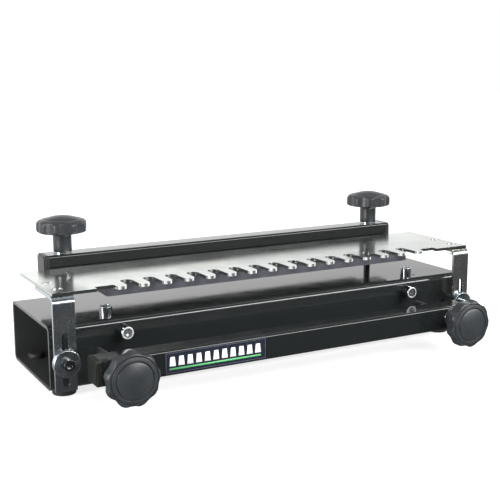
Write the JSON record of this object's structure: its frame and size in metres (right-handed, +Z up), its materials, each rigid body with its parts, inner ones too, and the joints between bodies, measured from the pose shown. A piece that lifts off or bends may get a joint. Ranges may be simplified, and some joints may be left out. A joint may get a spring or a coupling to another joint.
{
  "type": "dovetail jig",
  "caption": "Half-blind dovetail jig: box-tube body with a height-adjustable comb template and two screw-down clamp bars worked by lobed knobs.",
  "frame": {"origin": "middle of the four bench-screw holes, on the underside of the body tube", "axes": "+X along the jig, -Y towards the person using it (the front clamp side), +Z up"},
  "size_m": [0.4715, 0.2136, 0.1507],
  "materials": {
    "gloss_black_paint": "gloss black paint on steel tube",
    "comb_steel": "bright rolled steel sheet, faint grain along the length",
    "zinc_steel": "zinc-plated sheet steel",
    "blackened_steel": "oil-blackened steel, satin",
    "bright_fastener": "bright zinc plate",
    "turned_steel": "turned and zinc-plated",
    "knob_plastic": "satin charcoal moulding, fine texture",
    "cap_plastic": "satin black moulding",
    "strip_composite": "matt black composite with a fine speckle",
    "black_rubber": "matt",
    "label_film": "dark blue printed film, plain"
  },
  "bodies": {
    "body": {"body_tube": "gloss_black_paint", "clamp_nuts": "bright_fastener", "clamp_bosses": "blackened_steel", "bracket_nuts": "bright_fastener", "stop_nuts": "bright_fastener", "rubber_feet": "black_rubber", "top_stop_bushes": "turned_steel", "top_stop_screws": "bright_fastener", "front_stop_bushes": "turned_steel", "front_stop_screws": "bright_fastener", "bracket_spacers": "blackened_steel", "bracket_washers": "zinc_steel", "bracket_screws": "blackened_steel"},
    "template": {"template_plate": "comb_steel", "template_spacer": "strip_composite", "spacer_screws": "bright_fastener", "bracket_left": "zinc_steel", "bracket_right": "zinc_steel", "template_screws": "bright_fastener", "template_nuts": "bright_fastener"},
    "front_clamp": {"front_bar": "gloss_black_paint", "front_bar_caps": "cap_plastic", "front_bar_pad": "black_rubber", "front_label": "label_film", "front_knob_washers": "bright_fastener"},
    "front_left_screw": {"front_left_knob": "knob_plastic", "front_left_stud": "blackened_steel"},
    "front_right_screw": {"front_right_knob": "knob_plastic", "front_right_stud": "blackened_steel"},
    "rear_clamp": {"rear_bar": "gloss_black_paint", "rear_bar_caps": "cap_plastic", "rear_bar_pad": "black_rubber", "rear_knob_washers": "bright_fastener"},
    "rear_left_screw": {"rear_left_knob": "knob_plastic", "rear_left_stud": "blackened_steel"},
    "rear_right_screw": {"rear_right_knob": "knob_plastic", "rear_right_stud": "blackened_steel"}
  },
  "joints": [
    {"name": "template_height", "type": "slide", "parent": "body", "child": "template", "axis": [0, 0, 1], "range_m": [-0.008, 0.013]},
    {"name": "front_clamp_travel", "type": "slide", "parent": "body", "child": "front_clamp", "axis": [0, -1, 0], "range_m": [-0.01875, 0.00875]},
    {"name": "front_left_knob_turn", "type": "hinge", "parent": "front_clamp", "child": "front_left_screw", "pos_m": [-0.1831, -0.0955, 0.0272], "axis": [0, -1, 0], "range_deg": [-5403.6, 2523.6]},
    {"name": "front_right_knob_turn", "type": "hinge", "parent": "front_clamp", "child": "front_right_screw", "pos_m": [0.1831, -0.0955, 0.0272], "axis": [0, -1, 0], "range_deg": [-5403.6, 2523.6]},
    {"name": "rear_clamp_travel", "type": "slide", "parent": "body", "child": "rear_clamp", "axis": [0, 0, 1], "range_m": [-0.0125, 0.0125]},
    {"name": "rear_left_knob_turn", "type": "hinge", "parent": "rear_clamp", "child": "rear_left_screw", "pos_m": [-0.1831, 0.044, 0.094], "axis": [0, 0, 1], "range_deg": [-3603.6, 3603.6]},
    {"name": "rear_right_knob_turn", "type": "hinge", "parent": "rear_clamp", "child": "rear_right_screw", "pos_m": [0.1831, 0.044, 0.094], "axis": [0, 0, 1], "range_deg": [-3603.6, 3603.6]}
  ],
  "couplings": [
    {"joint": "front_left_knob_turn", "follows": "front_clamp_travel", "rad_per_m": 5026.5},
    {"joint": "front_right_knob_turn", "follows": "front_clamp_travel", "rad_per_m": 5026.5},
    {"joint": "rear_left_knob_turn", "follows": "rear_clamp_travel", "rad_per_m": 5026.5},
    {"joint": "rear_right_knob_turn", "follows": "rear_clamp_travel", "rad_per_m": 5026.5}
  ]
}
